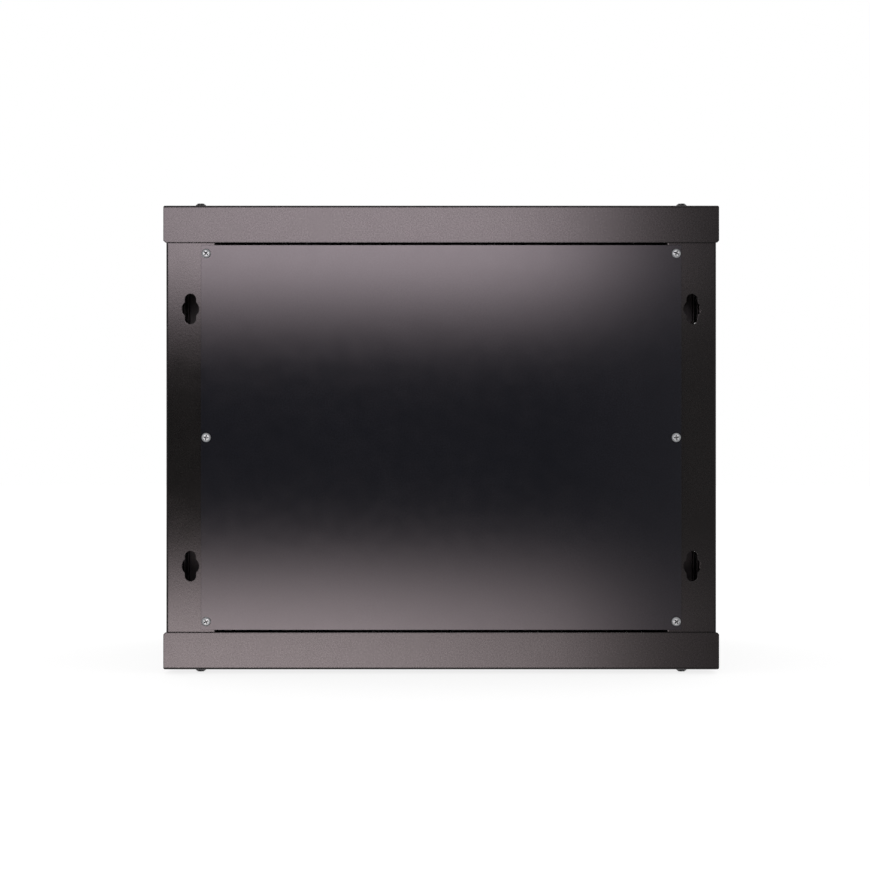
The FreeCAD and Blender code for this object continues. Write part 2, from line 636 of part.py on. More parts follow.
def panel_lock_place():
    """Centre of the right-hand panel's lock on its outer face."""
    return V(side_x, side_middle_y, opening_z - PANEL_GAP - PANEL_LOCK_FROM_TOP)


def panel_hooks():
    """The two tongues on the lower edge of the right-hand panel."""
    inner_x = side_x - PANEL_SHEET
    low = -opening_z + PANEL_GAP + HOOK_ABOVE_EDGE
    points = [(ledge_inner_x - HOOK_REACH, low), (inner_x, low), (inner_x, low + HOOK_LEG)]
    hooks = []
    for end in (-1, 1):
        y = side_middle_y + end * hook_offset
        hooks.append(depth_bar(points, y - HOOK_WIDTH / 2, y + HOOK_WIDTH / 2, HOOK_SHEET))
    return Part.makeCompound(hooks)


def build_side_panels(nodes):
    """Both side panels with their hooks and locks."""
    panel, hooks = side_panel(), panel_hooks()
    depth = side_x - ledge_inner_x + PANEL_CAM_GAP
    place = panel_lock_place()
    for name, side in (("right", 1), ("left", -1)):
        nodes[name + "_side_panel"] = panel if side > 0 else mirrored(panel, X)
        nodes[name + "_panel_hooks"] = hooks if side > 0 else mirrored(hooks, X)
        build_lock(nodes, name + "_panel_lock", PANEL_LOCK, PANEL_SHEET, depth,
                   V(side * place.x, place.y, place.z), X * side, Y)


# ---- front door ----
def door_frame():
    """The folded door: a skin with a window, closed edges and returned stiles."""
    back_y = door_back_y
    outer = block(-door_x, door_x, -DEPTH, back_y, -door_z, door_z)
    bends = edges_on(outer, Y, -DEPTH)
    bends += [e for e in edges_on(outer, Y, back_y) if abs(e.tangentAt(e.FirstParameter).z) > 0.9]
    outer = outer.makeFillet(DOOR_BEND, bends)
    x, z = door_x - DOOR_SHEET, door_z - DOOR_SHEET
    inner = block(-x, x, -DEPTH + DOOR_SHEET, back_y - DOOR_SHEET, -z, z)
    bends = edges_on(inner, Y, -DEPTH + DOOR_SHEET)
    bends += [e for e in edges_on(inner, Y, back_y - DOOR_SHEET)
              if abs(e.tangentAt(e.FirstParameter).z) > 0.9]
    inner = inner.makeFillet(DOOR_BEND - DOOR_SHEET, bends)
    back = block(-door_x + DOOR_RETURN, door_x - DOOR_RETURN, back_y - DOOR_SHEET - 1, back_y + 1, -z, z)
    cutters = [back, window_tool(0, -DEPTH - 1, -DEPTH + DOOR_SHEET + 1)]
    cutters.append(hole(DOOR_LOCK[2] + LOCK_FIT, door_lock_place(), Y))
    for end in (-1, 1):
        cutters.append(hole(PIN_R + PIN_FIT, V(pin_x, pin_y, end * door_z), Z))
    tool = slot_tool(DOOR_SLOT_LENGTH, DOOR_SLOT_WIDTH, 3)
    slot_x = (door_x - DOOR_BEND + window_x + GLASS_LAP) / 2
    for side in (-1, 1):
        for end in (-1, 1):
            for row in range(DOOR_SLOT_COUNT):
                z_row = end * (DOOR_SLOT_FIRST_Z + row * DOOR_SLOT_PITCH)
                cutters.append(placed(tool, V(side * slot_x, -DEPTH, z_row), -Y, X))
    return outer.cut(inner).cut(Part.makeCompound(cutters))


def window_tool(grow, y0, y1):
    """The window's outline between two depths, larger all round by grow."""
    x, z = window_x + grow, window_z + grow
    flat = rounded_block(-x, x, -z, z, 0, y1 - y0, WINDOW_CORNER_R)
    return placed(flat, V(0, y1, 0), -Y, X)


def door_lock_place():
    """Centre of the door lock on the door's skin."""
    return V(front_opening_x - DOOR_LOCK_FROM_FLANGE, -DEPTH, 0)


def glass_clip():
    """A clip that holds the glass edge at x = 0, with the skin's inner face at y = 0."""
    glass_back = TAPE_THICKNESS + GLASS_THICKNESS
    face = bent_strip([(-CLIP_LIP, glass_back), (CLIP_EDGE_GAP, glass_back), (CLIP_EDGE_GAP, 0),
                       (CLIP_EDGE_GAP + CLIP_FOOT, 0)], CLIP_SHEET, 0.3)
    return face.extrude(Z * CLIP_WIDTH).translated(Z * (-CLIP_WIDTH / 2))


def build_glazing(nodes):
    """The glass with its tape and the clips welded to the skin."""
    nodes["door_glass"] = window_tool(GLASS_LAP, glass_front_y, glass_back_y)
    skin_y = -DEPTH + DOOR_SHEET
    tape = window_tool(GLASS_LAP - 1, skin_y, glass_front_y)
    nodes["glazing_tape"] = tape.cut(window_tool(GLASS_LAP - 1 - TAPE_WIDTH, skin_y, glass_front_y))
    edge_x, edge_z = window_x + GLASS_LAP, window_z + GLASS_LAP
    spots = [(V(side * edge_x, skin_y, end * CLIP_HALF_SPAN), X * side)
             for side in (-1, 1) for end in (-1, 1)]
    spots += [(V(0, skin_y, end * edge_z), Z * end) for end in (-1, 1)]
    clip = glass_clip()
    nodes["glass_clips"] = Part.makeCompound([placed(clip, spot, away.cross(Y), away)
                                              for spot, away in spots])


def hinge_pin():
    """The upper pin, turned with a collar and a knob, in its place in the door."""
    tip_z = door_z + BRACKET_LIFT + BRACKET_SHEET + PIN_PAST_BRACKET
    collar_top = door_z - DOOR_SHEET - PIN_COLLAR_GAP
    collar_low = collar_top - PIN_COLLAR_HEIGHT
    knob_top = guide_top_z() - GUIDE_SHEET - GUIDE_SKIRT
    pin = turned([(0, knob_top - PIN_KNOB_HEIGHT), (PIN_KNOB_R, knob_top - PIN_KNOB_HEIGHT),
                  (PIN_KNOB_R, knob_top), (PIN_R, knob_top), (PIN_R, collar_low),
                  (PIN_COLLAR_R, collar_low), (PIN_COLLAR_R, collar_top), (PIN_R, collar_top),
                  (PIN_R, tip_z - 1), (PIN_R - 1, tip_z), (0, tip_z)])
    return pin.translated(V(pin_x, pin_y, 0))


def guide_top_z():
    """Top of the ear that the pin's spring stands on."""
    return door_z - DOOR_SHEET - PIN_COLLAR_GAP - PIN_COLLAR_HEIGHT - SPRING_HEIGHT


def pin_guide():
    """The upper angle inside the door that guides the pin's lower end."""
    inner_x = -door_x + DOOR_SHEET
    low = guide_top_z() - GUIDE_SHEET
    points = [(inner_x, door_z - DOOR_SHEET), (inner_x, low), (inner_x + 2 * PIN_FROM_EDGE - 3, low)]
    clear = DOOR_SHEET + 1
    guide = depth_bar(points, -DEPTH + clear, door_back_y - clear, GUIDE_SHEET)
    return guide.cut(hole(PIN_R + PIN_FIT, V(pin_x, pin_y, low), Z))


def pin_spring():
    """The upper pin's compression spring, of square wire."""
    radius = PIN_R + SPRING_PLAY + SPRING_WIRE / 2
    pitch = (SPRING_HEIGHT - 2 * SPRING_PLAY - SPRING_WIRE) / SPRING_TURNS
    helix = Part.makeHelix(pitch, pitch * SPRING_TURNS, radius)
    half = SPRING_WIRE / 2
    corners = [V(radius + dx * half, 0, dz * half) for dx, dz in
               ((-1, -1), (1, -1), (1, 1), (-1, 1), (-1, -1))]
    coil = Part.Wire(helix.Edges).makePipeShell([Part.makePolygon(corners)], True, True)
    return coil.translated(V(pin_x, pin_y, guide_top_z() + SPRING_PLAY + half))


def hinge_bracket():
    """The upper angle, welded to the left frame, with the hole that the pin turns in."""
    low = door_z + BRACKET_LIFT
    tip_y = -DEPTH + COVER_SHEET + BRACKET_FROM_FLANGE
    points = [(tip_y, low), (frame_front_y, low), (frame_front_y, low + BRACKET_LEG)]
    bracket = cross_bar(points, -side_x + 0.5, -front_opening_x, BRACKET_SHEET)
    return bracket.cut(hole(PIN_R + PIN_FIT, V(pin_x, pin_y, low), Z))


def build_door(nodes):
    """The door with its glass, lock, hinge and buffers."""
    nodes["door_frame"] = door_frame()
    build_glazing(nodes)
    cam_front_y = frame_front_y + FRAME_SHEET + DOOR_CAM_GAP
    build_lock(nodes, "door_lock", DOOR_LOCK, DOOR_SHEET, cam_front_y + DEPTH, door_lock_place(), -Y, Z)
    for name, shape in (("hinge_pin", hinge_pin()), ("pin_guide", pin_guide()),
                        ("pin_spring", pin_spring()), ("hinge_bracket", hinge_bracket())):
        nodes["upper_" + name] = shape
        nodes["lower_" + name] = mirrored(shape, Z)
    height = DOOR_TO_FRAME - BUFFER_GAP
    buffer = Part.makeCylinder(BUFFER_R, height, V(0, 0, 0), -Y)
    x = (front_opening_x + side_x) / 2
    nodes["door_buffers"] = Part.makeCompound(
        [buffer.translated(V(x, frame_front_y, end * BUFFER_Z)) for end in (-1, 1)])


def main():
    """Every node, written as parts/NODE.step."""
    nodes = {}
    build_covers(nodes)
    build_side_frames(nodes)
    build_rear_panel(nodes)
    build_rails(nodes)
    build_side_panels(nodes)
    build_door(nodes)
    os.makedirs("parts", exist_ok=True)
    for name, shape in sorted(nodes.items()):
        print(name, len(shape.Solids), "valid" if shape.isValid() else "NOT VALID", round(shape.Volume))
        shape.exportStep("parts/" + name + ".step")


main()
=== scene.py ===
import json
import math

import bmesh
import bpy
from mathutils import Matrix, Vector


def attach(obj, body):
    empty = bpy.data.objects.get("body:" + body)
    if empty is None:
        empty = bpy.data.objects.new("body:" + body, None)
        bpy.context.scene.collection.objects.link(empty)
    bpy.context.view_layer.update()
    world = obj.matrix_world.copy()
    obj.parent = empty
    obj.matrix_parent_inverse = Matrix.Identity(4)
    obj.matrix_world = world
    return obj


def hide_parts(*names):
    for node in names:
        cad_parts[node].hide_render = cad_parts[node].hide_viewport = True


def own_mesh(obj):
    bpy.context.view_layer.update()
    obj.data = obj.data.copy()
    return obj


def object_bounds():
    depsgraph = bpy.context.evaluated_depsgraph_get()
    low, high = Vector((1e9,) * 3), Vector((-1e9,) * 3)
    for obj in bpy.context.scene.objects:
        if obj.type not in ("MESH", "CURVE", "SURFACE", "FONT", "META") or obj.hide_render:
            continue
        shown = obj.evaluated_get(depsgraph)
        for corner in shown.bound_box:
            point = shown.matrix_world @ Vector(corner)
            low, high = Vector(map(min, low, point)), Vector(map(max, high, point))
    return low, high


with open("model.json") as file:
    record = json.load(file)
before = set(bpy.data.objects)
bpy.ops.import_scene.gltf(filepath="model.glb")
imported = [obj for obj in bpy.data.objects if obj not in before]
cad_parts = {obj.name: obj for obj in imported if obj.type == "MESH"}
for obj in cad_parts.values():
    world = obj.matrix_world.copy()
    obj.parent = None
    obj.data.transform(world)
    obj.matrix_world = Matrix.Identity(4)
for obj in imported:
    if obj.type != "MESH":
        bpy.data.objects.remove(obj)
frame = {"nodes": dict(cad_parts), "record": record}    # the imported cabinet: its bodies, nodes and joints
cad_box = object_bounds()
NODES = frame["nodes"]

# The looks of a nine-unit wall cabinet, in metres. +Z is up, the wall is at y = 0 behind the
# cabinet, and the glass door faces -Y. Fasteners, springs and buffers are modelled here in
# detail, each in the seat of the plain one that it stands for.

MM = 0.001
QUARTER_TURN = math.pi / 2
HALF_TURN = math.pi
WHOLE_TURN = 2 * math.pi
X, Y, Z = range(3)      # places of the axes in a vector
SQUARE_ON = 0.99        # a face whose normal has this much of an axis lies square to it
WELD = 1e-6             # corners of a new piece that are nearer than this are one
CAD_WELD = 1e-7         # and corners of a node


# ---- working in edit mode ----
def only(piece):
    """This piece is the one that is selected and active."""
    for other in bpy.context.selected_objects:
        other.select_set(False)
    bpy.context.view_layer.objects.active = piece
    piece.select_set(True)


def open_mesh(piece):
    """Edit mode on one piece, with nothing selected in it."""
    only(piece)
    bpy.ops.object.mode_set(mode="EDIT")
    bpy.ops.mesh.select_all(action="DESELECT")


def close_mesh():
    bpy.ops.object.mode_set(mode="OBJECT")


def pick_faces(piece, test):
    """Select the faces that pass a test of their centre and normal."""
    bpy.ops.mesh.select_mode(type="FACE")
    bpy.ops.mesh.select_all(action="DESELECT")
    mesh = bmesh.from_edit_mesh(piece.data)
    for face in mesh.faces:
        face.select_set(test(face.calc_center_median(), face.normal))
    bmesh.update_edit_mesh(piece.data)


def pick_top(piece, height):
    """Select the flat face that is above a height."""
    pick_faces(piece, lambda centre, normal: normal.z > SQUARE_ON and centre.z > height)


def pick_edges(piece, test):
    """Select the edges whose two ends both pass a test of their place."""
    bpy.ops.mesh.select_mode(type="EDGE")
    bpy.ops.mesh.select_all(action="DESELECT")
    mesh = bmesh.from_edit_mesh(piece.data)
    for edge in mesh.edges:
        edge.select_set(all(test(corner.co) for corner in edge.verts))
    bmesh.update_edit_mesh(piece.data)


def ease_edges(piece, test, width, segments=1, profile=0.5):
    """Round or chamfer the edges that pass a test."""
    pick_edges(piece, test)
    bpy.ops.mesh.bevel(offset=width, segments=segments, profile=profile, affect="EDGES")


def settle(piece):
    """The piece's place, turn and size go into its mesh."""
    only(piece)
    bpy.ops.object.transform_apply(location=True, rotation=True, scale=True)


def use_modifier(piece, kind, **values):
    """Add a modifier with these values and apply it."""
    only(piece)
    modifier = piece.modifiers.new(kind.lower(), kind)
    for name, value in values.items():
        setattr(modifier, name, value)
    bpy.ops.object.modifier_apply(modifier=modifier.name)


def combine(piece, tool, operation):
    """Cut a tool out of a piece, or keep what the two share, and remove the tool."""
    use_modifier(piece, "BOOLEAN", object=tool, operation=operation, solver="EXACT")
    bpy.data.objects.remove(tool)


def cylinder(radius, low, high, sides=48):
    """A closed cylinder on the Z axis between two heights."""
    bpy.ops.mesh.primitive_cylinder_add(vertices=sides, radius=radius, depth=high - low,
                                        location=(0, 0, (low + high) / 2))
    piece = bpy.context.object
    settle(piece)
    return piece


def close_ends(piece):
    """Fill the open rims of a swept piece, and turn its faces outwards."""
    open_mesh(piece)
    bpy.ops.mesh.select_mode(type="EDGE")
    bpy.ops.mesh.select_all(action="SELECT")
    bpy.ops.mesh.remove_doubles(threshold=WELD)
    bpy.ops.mesh.select_all(action="DESELECT")
    bpy.ops.mesh.select_non_manifold(extend=False, use_wire=False, use_multi_face=False,
                                     use_non_contiguous=False, use_verts=False)
    bpy.ops.mesh.fill()
    bpy.ops.mesh.select_all(action="SELECT")
    bpy.ops.mesh.normals_make_consistent(inside=False)
    close_mesh()


def coil(radius, half_width, sides, pitch, turns, low):
    """A wire of this many sides wound round the Z axis, upwards from a height."""
    steps = 24    # to a turn
    bpy.ops.mesh.primitive_circle_add(vertices=sides, radius=half_width,
                                      location=(radius, 0, low), rotation=(QUARTER_TURN, 0, 0))
    wire = bpy.context.object
    settle(wire)
    use_modifier(wire, "SCREW", axis="Z", angle=WHOLE_TURN, screw_offset=pitch,
                 iterations=turns, steps=steps, render_steps=steps)
    close_ends(wire)
    return wire


def join(pieces, name):
    """One piece made of several, with a name."""
    only(pieces[0])
    for piece in pieces[1:]:
        piece.select_set(True)
    if len(pieces) > 1:
        bpy.ops.object.join()
    result = bpy.context.view_layer.objects.active
    result.name = name
    result.data.name = name
    return result


def copies(pattern, places, name):
    """One piece made of a copy of the pattern in each place, each place a 4 x 4 matrix."""
    made = []
    for place in places:
        copy = pattern.copy()
        copy.data = pattern.data.copy()
        bpy.context.scene.collection.objects.link(copy)
        copy.data.transform(place)
        made.append(copy)
    bpy.data.objects.remove(pattern)
    return join(made, name)


def smooth(piece, degrees=35):
    """Shade a piece smooth, apart from the edges that turn by more than an angle."""
    only(piece)
    bpy.ops.object.shade_smooth_by_angle(angle=math.radians(degrees))


def take_connected(start, left):
    """The corners that edges join to a start, taken out of the set of those left."""
    group = [start]
    for corner in group:
        for edge in corner.link_edges:
            other = edge.other_vert(corner)
            if other in left:
                left.remove(other)
                group.append(other)
    return group


def solid_boxes(node):
    """The (low, high) corners of the box of each separate solid of a node, in order of place."""
    mesh = bmesh.new()
    mesh.from_mesh(NODES[node].data)
    bmesh.ops.remove_doubles(mesh, verts=mesh.verts, dist=CAD_WELD)
    left = set(mesh.verts)
    boxes = []
    while left:
        points = [corner.co for corner in take_connected(left.pop(), left)]
        low = Vector([min(point[axis] for point in points) for axis in (X, Y, Z)])
        high = Vector([max(point[axis] for point in points) for axis in (X, Y, Z)])
        boxes.append((low, high))
    mesh.free()
    return sorted(boxes, key=lambda box: tuple(round(value, 4) for value in box[0]))


# ---- finishes ----
class Finish:
    """A material with its Principled shader and short ways to add nodes to it.

    The scale of a noise is about the number of its patches to a metre.
    """

    def __init__(self, name, **sockets):
        self.material = bpy.data.materials.new(name)
        self.material.use_nodes = True
        self.tree = self.material.node_tree
        self.shader = self.tree.nodes["Principled BSDF"]
        for socket, value in sockets.items():
            self.shader.inputs[socket.replace("_", " ")].default_value = value
        self.place = self.tree.nodes.new("ShaderNodeTexCoord").outputs["Object"]

    def node(self, kind, inputs=(), **values):
        """A new node with its settings, and its inputs as sockets to link or values."""
        made = self.tree.nodes.new(kind)
        for name, value in values.items():
            setattr(made, name, value)
        for name, value in dict(inputs).items():
            if isinstance(value, bpy.types.NodeSocket):
                self.tree.links.new(value, made.inputs[name])
            else:
                made.inputs[name].default_value = value
        return made

    def noise(self, scale, detail, stretch=(1, 1, 1)):
        place = self.place
        if stretch != (1, 1, 1):
            place = self.node("ShaderNodeMapping", {"Vector": place, "Scale": stretch}).outputs[0]
        made = self.node("ShaderNodeTexNoise", {"Vector": place, "Scale": scale, "Detail": detail})
        return made.outputs[0]

    def spread(self, value, low, high, start=0.3, end=0.7):
        """A value from low to high as another goes from start to end."""
        made = self.node("ShaderNodeMapRange", {"Value": value, "From Min": start, "From Max": end,
                                                "To Min": low, "To Max": high})
        return made.outputs[0]

    def colours(self, value, stops):
        """A colour that a value picks from two (position, colour) stops."""
        ramp = self.node("ShaderNodeValToRGB", {"Fac": value})
        for element, (position, colour) in zip(ramp.color_ramp.elements, stops):
            element.position = position
            element.color = (*colour, 1)
        return ramp.outputs[0]

    def clouds(self, low, high, scale, detail):
        """A colour that drifts between two of them in soft patches."""
        return self.colours(self.noise(scale, detail), [(0.35, low), (0.65, high)])

    def mixed(self, share, plain, other):
        """A plain colour that goes over to another as a share rises from 0 to 1."""
        made = self.node("ShaderNodeMix", {"Factor": share, "A": (*plain, 1), "B": other},
                         data_type="RGBA")
        return made.outputs["Result"]

    def relief(self, layers, edge_radius=0.0):
        """Bumps from (height value, depth in metres), and edges rounded by a radius."""
        normal = None
        if edge_radius:
            bevel = self.node("ShaderNodeBevel", {"Radius": edge_radius}, samples=4)
            normal = bevel.outputs[0]
        for height, depth in layers:
            inputs = {"Height": height, "Distance": depth, "Strength": 1.0}
            if normal:
                inputs["Normal"] = normal
            normal = self.node("ShaderNodeBump", inputs).outputs[0]
        self.to("Normal", normal)

    def to(self, socket, value):
        self.tree.links.new(value, self.shader.inputs[socket])

    def stand_in(self, shader, ray, other_ray):
        """Two kinds of ray meet this shader instead."""
        rays = self.node("ShaderNodeLightPath")
        either = self.node("ShaderNodeMath", {0: rays.outputs[ray], 1: rays.outputs[other_ray]},
                           operation="MAXIMUM")
        chosen = self.node("ShaderNodeMixShader", {0: either.outputs[0],
                                                   1: self.shader.outputs[0],
                                                   2: shader.outputs[0]})
        output = self.tree.nodes["Material Output"]
        self.tree.links.new(chosen.outputs[0], output.inputs["Surface"])


def scaled(colour, share):
    """A colour, darker or lighter by a share."""
    return tuple(share * value for value in colour)


def powder_coat(name, low, high, tint, grain, edge_radius, rough=(0.085, 0.105)):
    """Black powder coat: orange peel, a fine grain, and a slightly uneven shade."""
    wave_depth = 0.02 * MM
    peel_depth = 0.01 * MM
    pit_shade = scaled(low, 1 - 1.5 * grain)
    pit_tint = scaled(tint, 1 - grain)
    finish = Finish(name)
    specks = finish.noise(scale=620, detail=1)
    shade = finish.clouds(low, high, scale=14, detail=3)
    finish.to("Base Color", finish.mixed(finish.spread(specks, 0, 1), pit_shade, shade))
    finish.to("Specular Tint", finish.colours(specks, [(0.25, pit_tint), (0.75, tint)]))
    haze = finish.noise(scale=60, detail=4)
    finish.to("Roughness", finish.spread(haze, *rough))
    waves = finish.noise(scale=7, detail=1)
    peel = finish.noise(scale=520, detail=2)
    finish.relief([(waves, wave_depth), (peel, peel_depth)], edge_radius)
    return finish.material


def plated_steel(name, low, high, rough, mark_depth=0.004 * MM):
    """A plated metal: clouded passivation and fine tool marks, with painted shade that darkens its recesses
    and corners.
    """
    edge_radius = 0.15 * MM
    recess_depth = 1.6 * MM    # corners and recesses closer than this get painted shade
    painted_recess_shade = scaled(low, 0.12)
    finish = Finish(name, Metallic=1.0)
    plate = finish.clouds(low, high, scale=240, detail=4)
    # painted shade: ambient occlusion darkens the base colour in recesses and corners, where shade falls
    openness = finish.node("ShaderNodeAmbientOcclusion", {"Distance": recess_depth}, samples=8)
    unshaded_share = finish.spread(openness.outputs["AO"], 0, 1, start=0.35, end=0.95)
    finish.to("Base Color", finish.mixed(unshaded_share, painted_recess_shade, plate))
    haze = finish.noise(scale=700, detail=3)
    finish.to("Roughness", finish.spread(haze, *rough))
    marks = finish.noise(scale=1500, detail=2)
    dents = finish.noise(scale=300, detail=2)
    finish.relief([(marks, mark_depth), (dents, 2 * mark_depth)], edge_radius)
    return finish.material


def moulded_rubber(name, shade, rough):
    """Soft black rubber, faintly clouded, with a fine moulded grain."""
    edge_radius = 0.3 * MM
    grain_depth = 0.02 * MM
    dark = scaled(shade, 0.7)
    finish = Finish(name, Specular_IOR_Level=0.35)
    finish.to("Base Color", finish.clouds(dark, shade, scale=90, detail=4))
    haze = finish.noise(scale=400, detail=3)
    finish.to("Roughness", finish.spread(haze, *rough))
    grain = finish.noise(scale=1400, detail=3)
    finish.relief([(grain, grain_depth)], edge_radius)
    return finish.material


def foam_tape(name, shade):
    """Closed-cell foam: dark cells with paler walls that stand up."""
    cell_depth = 0.08 * MM
    finish = Finish(name, Roughness=0.9, Specular_IOR_Level=0.2)
    cells = finish.node("ShaderNodeTexVoronoi", {"Vector": finish.place, "Scale": 2200})
    wall = cells.outputs["Distance"]
    finish.to("Base Color", finish.colours(wall, [(0.1, shade), (0.6, scaled(shade, 2))]))
    finish.relief([(wall, cell_depth)])
    return finish.material


def tinted_glass(name, low, high, clear):
    """Toughened glass, with faint roller waves, that lets lamps shine through."""
    wave_depth = 0.12 * MM
    finish = Finish(name, Transmission_Weight=1.0, IOR=1.5, Roughness=0.0)
    shade = finish.noise(scale=3, detail=1)
    finish.to("Base Color", finish.colours(shade, [(0.3, low), (0.7, high)]))
    waves = finish.noise(scale=9, detail=0, stretch=(1, 1, 4))
    finish.relief([(waves, wave_depth)])
    through = finish.node("ShaderNodeBsdfTransparent", {"Color": (*clear, 1)})
    finish.stand_in(through, "Is Shadow Ray", "Is Diffuse Ray")
    return finish.material


BLACK = ((0.0132, 0.0125, 0.0120), (0.0162, 0.0154, 0.0148))
MATT_BLACK = ((0.0100, 0.0095, 0.0095), (0.0130, 0.0124, 0.0122))
BLUE_BLACK = ((0.0118, 0.0130, 0.0176), (0.0140, 0.0152, 0.0204))
WARM_TINT = (1.0, 0.9, 0.945)
PANEL_TINT = (1.0, 0.9, 0.956)

POWDER = powder_coat("black powder coat", *BLACK, WARM_TINT, grain=0.14, edge_radius=0.8 * MM)
COVER_POWDER = powder_coat("cover powder coat", *BLACK, WARM_TINT, grain=0.26,
                           edge_radius=1.2 * MM)
MATT_POWDER = powder_coat("matt powder coat", *MATT_BLACK, WARM_TINT, grain=0.14,
                          edge_radius=0.8 * MM, rough=(0.3, 0.38))
PANEL_POWDER = powder_coat("rear panel powder coat", *BLUE_BLACK, PANEL_TINT, grain=0.1,
                           edge_radius=0.5 * MM)
ZINC = plated_steel("bright zinc plate", (0.56, 0.58, 0.60), (0.68, 0.70, 0.72), (0.36, 0.44))
BLACK_ZINC = plated_steel("black zinc plate", (0.025, 0.024, 0.025), (0.045, 0.044, 0.046),
                          (0.3, 0.42))
NICKEL = plated_steel("satin nickel", (0.64, 0.62, 0.58), (0.72, 0.70, 0.66), (0.16, 0.26),
                      mark_depth=0.002 * MM)
SPRING_WIRE = plated_steel("spring wire", (0.34, 0.34, 0.35), (0.46, 0.46, 0.48), (0.3, 0.42))
RUBBER = moulded_rubber("black rubber", (0.022, 0.022, 0.022), (0.55, 0.75))
FOAM = foam_tape("grey foam tape", (0.02, 0.02, 0.021))
GLASS = tinted_glass("grey toughened glass", (0.58, 0.61, 0.62), (0.61, 0.64, 0.65),
                     clear=(0.6, 0.63, 0.64))

SLOT_FINISHES = {
    "powder_coat": POWDER,
    "black_zinc": BLACK_ZINC,
    "bright_zinc": ZINC,
    "lock_chrome": NICKEL,
    "door_glass": GLASS,
    "rubber": RUBBER,
}
NODE_FINISHES = {
    "top_cover": COVER_POWDER,
    "bottom_cover": COVER_POWDER,
    "rear_left_rail": MATT_POWDER,
    "rear_right_rail": MATT_POWDER,
    "front_left_rail": MATT_POWDER,
    "front_right_rail": MATT_POWDER,
    "rear_panel": PANEL_POWDER,
    "glazing_tape": FOAM,
}


def wear(piece, material):
    """Give a piece or node one material all over."""
    piece.data.materials.clear()
    piece.data.materials.append(material)


def wear_nodes():
    """Each node wears its own finish, or else that of its material slot."""
    for row in frame["record"]["subparts"]:
        finish = SLOT_FINISHES[row["material_slot"]]
        wear(NODES[row["node"]], NODE_FINISHES.get(row["node"], finish))


def finish_piece(piece, slot, body, node, material=None):
    """The finish, slot and body of a piece that stands for a node."""
    wear(piece, material or SLOT_FINISHES[slot])
    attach(piece, body)
    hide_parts(node)


wear_nodes()


# ---- screws and bolts ----
def cross_recess(span, depth, top):
    """Two tapered bars that cross, to cut a screwdriver's recess down from a height."""
    bar_size = (span, 0.22 * span, 1.3 * depth)    # taller than the cut, to stand out above
    taper = 0.45
    bars = []
    for turn in (0, QUARTER_TURN):
        bpy.ops.mesh.primitive_cube_add(size=1, location=(0, 0, top - depth / 2),
                                        rotation=(0, 0, turn), scale=bar_size)
        bar = bpy.context.object
        settle(bar)
        bars.append(bar)
    for bar in bars:
        open_mesh(bar)
        pick_faces(bar, lambda centre, normal: normal.z < -SQUARE_ON)
        bpy.ops.transform.resize(value=(taper, taper, 1))
        close_mesh()
    return bars


def pan_head(radius, height):
    """A pan head with a rounded rim, a low crown and a cross recess, seated at z = 0."""
    rim_height = 0.86 * height
    rim_round = 0.62 * height
    crown_steps = 2
    crown_inset = 0.22 * radius
    crown_rise = 0.065 * height
    near_top = 0.8 * height
    head = cylinder(radius, 0, rim_height)
    open_mesh(head)
    ease_edges(head, lambda corner: corner.z > near_top, rim_round, segments=6, profile=0.55)
    pick_top(head, near_top)
    for _ in range(crown_steps):
        bpy.ops.mesh.inset(thickness=crown_inset)
        bpy.ops.transform.translate(value=(0, 0, crown_rise))
    close_mesh()
    for bar in cross_recess(span=1.2 * radius, depth=0.85 * height, top=height):
        combine(head, bar, "DIFFERENCE")
    return head


def threaded_shank(radius, length, pitch):
    """A screw's shank below z = 0: a core, a wound thread and a chamfered end."""
    core_radius = radius - 0.45 * pitch
    chamfer = 0.4 * pitch
    tooth = 0.42 * pitch
    bare = 0.8 * pitch    # at each end of the thread
    core = cylinder(core_radius, -length, 0, sides=24)
    open_mesh(core)
    ease_edges(core, lambda corner: corner.z < -0.9 * length, chamfer)
    close_mesh()
    turns = int((length - 2 * bare) / pitch)
    thread = coil(radius=core_radius + 0.35 * tooth, half_width=tooth, sides=3, pitch=pitch,
                  turns=turns, low=bare - length)
    return [core, thread]


def pan_screw(head_radius, head_height, shank_radius, length, pitch):
    """A whole screw on the Z axis, with its seat at z = 0 and its head above."""
    parts = [pan_head(head_radius, head_height)]
    if length:
        parts += threaded_shank(shank_radius, length, pitch)
    screw = join(parts, "screw")
    smooth(screw)
    return screw


def screws_for(node, body, slot, sizes, axis, way, turns):
    """A detailed screw for each solid of a node, along an axis.

    Which way a head points, 1 or -1, comes from a function of its solid's box. The turns
    of the recesses are in degrees.
    """
    head_radius, head_height, shank_radius, length, pitch = (value * MM for value in sizes)
    pattern = pan_screw(head_radius, head_height, shank_radius, length, pitch)
    places = []
    for (low, high), degrees in zip(solid_boxes(node), turns):
        sign = way(low, high)
        tip = high[axis] if sign > 0 else low[axis]
        seat = (low + high) / 2
        seat[axis] = tip - sign * head_height
        pointing = Vector((0, 0, 0))
        pointing[axis] = sign
        turn = pointing.to_track_quat("Z", "Y").to_matrix().to_4x4()
        spin = Matrix.Rotation(math.radians(degrees), 4, "Z")
        places.append(Matrix.Translation(seat) @ turn @ spin)
    screws = copies(pattern, places, node + "_detail")
    finish_piece(screws, slot, body, node)


def along(low, high):
    """The way that the axis points."""
    return 1


def against(low, high):
    """The other way."""
    return -1


def to_covers(low, high):
    """Up in the cabinet's upper half, and down in its lower half."""
    return 1 if low.z > 0 else -1


def to_middle(low, high):
    """Towards the middle of the cabinet's width."""
    return -1 if low.x > 0 else 1


# head radius, head height, shank radius, length and pitch, in millimetres
M6 = (6.0, 4.4, 3.0, 12.0, 1.0)
M6_SHORT = (6.0, 4.4, 3.0, 8.0, 1.0)
M5 = (5.0, 3.2, 2.5, 10.0, 0.8)
M4 = (3.5, 2.2, 2.0, 5.0, 0.7)
CAM_HEAD = (3.5, 2.0, 1.5, 0, 0.5)    # no shank, because the plug would hide it

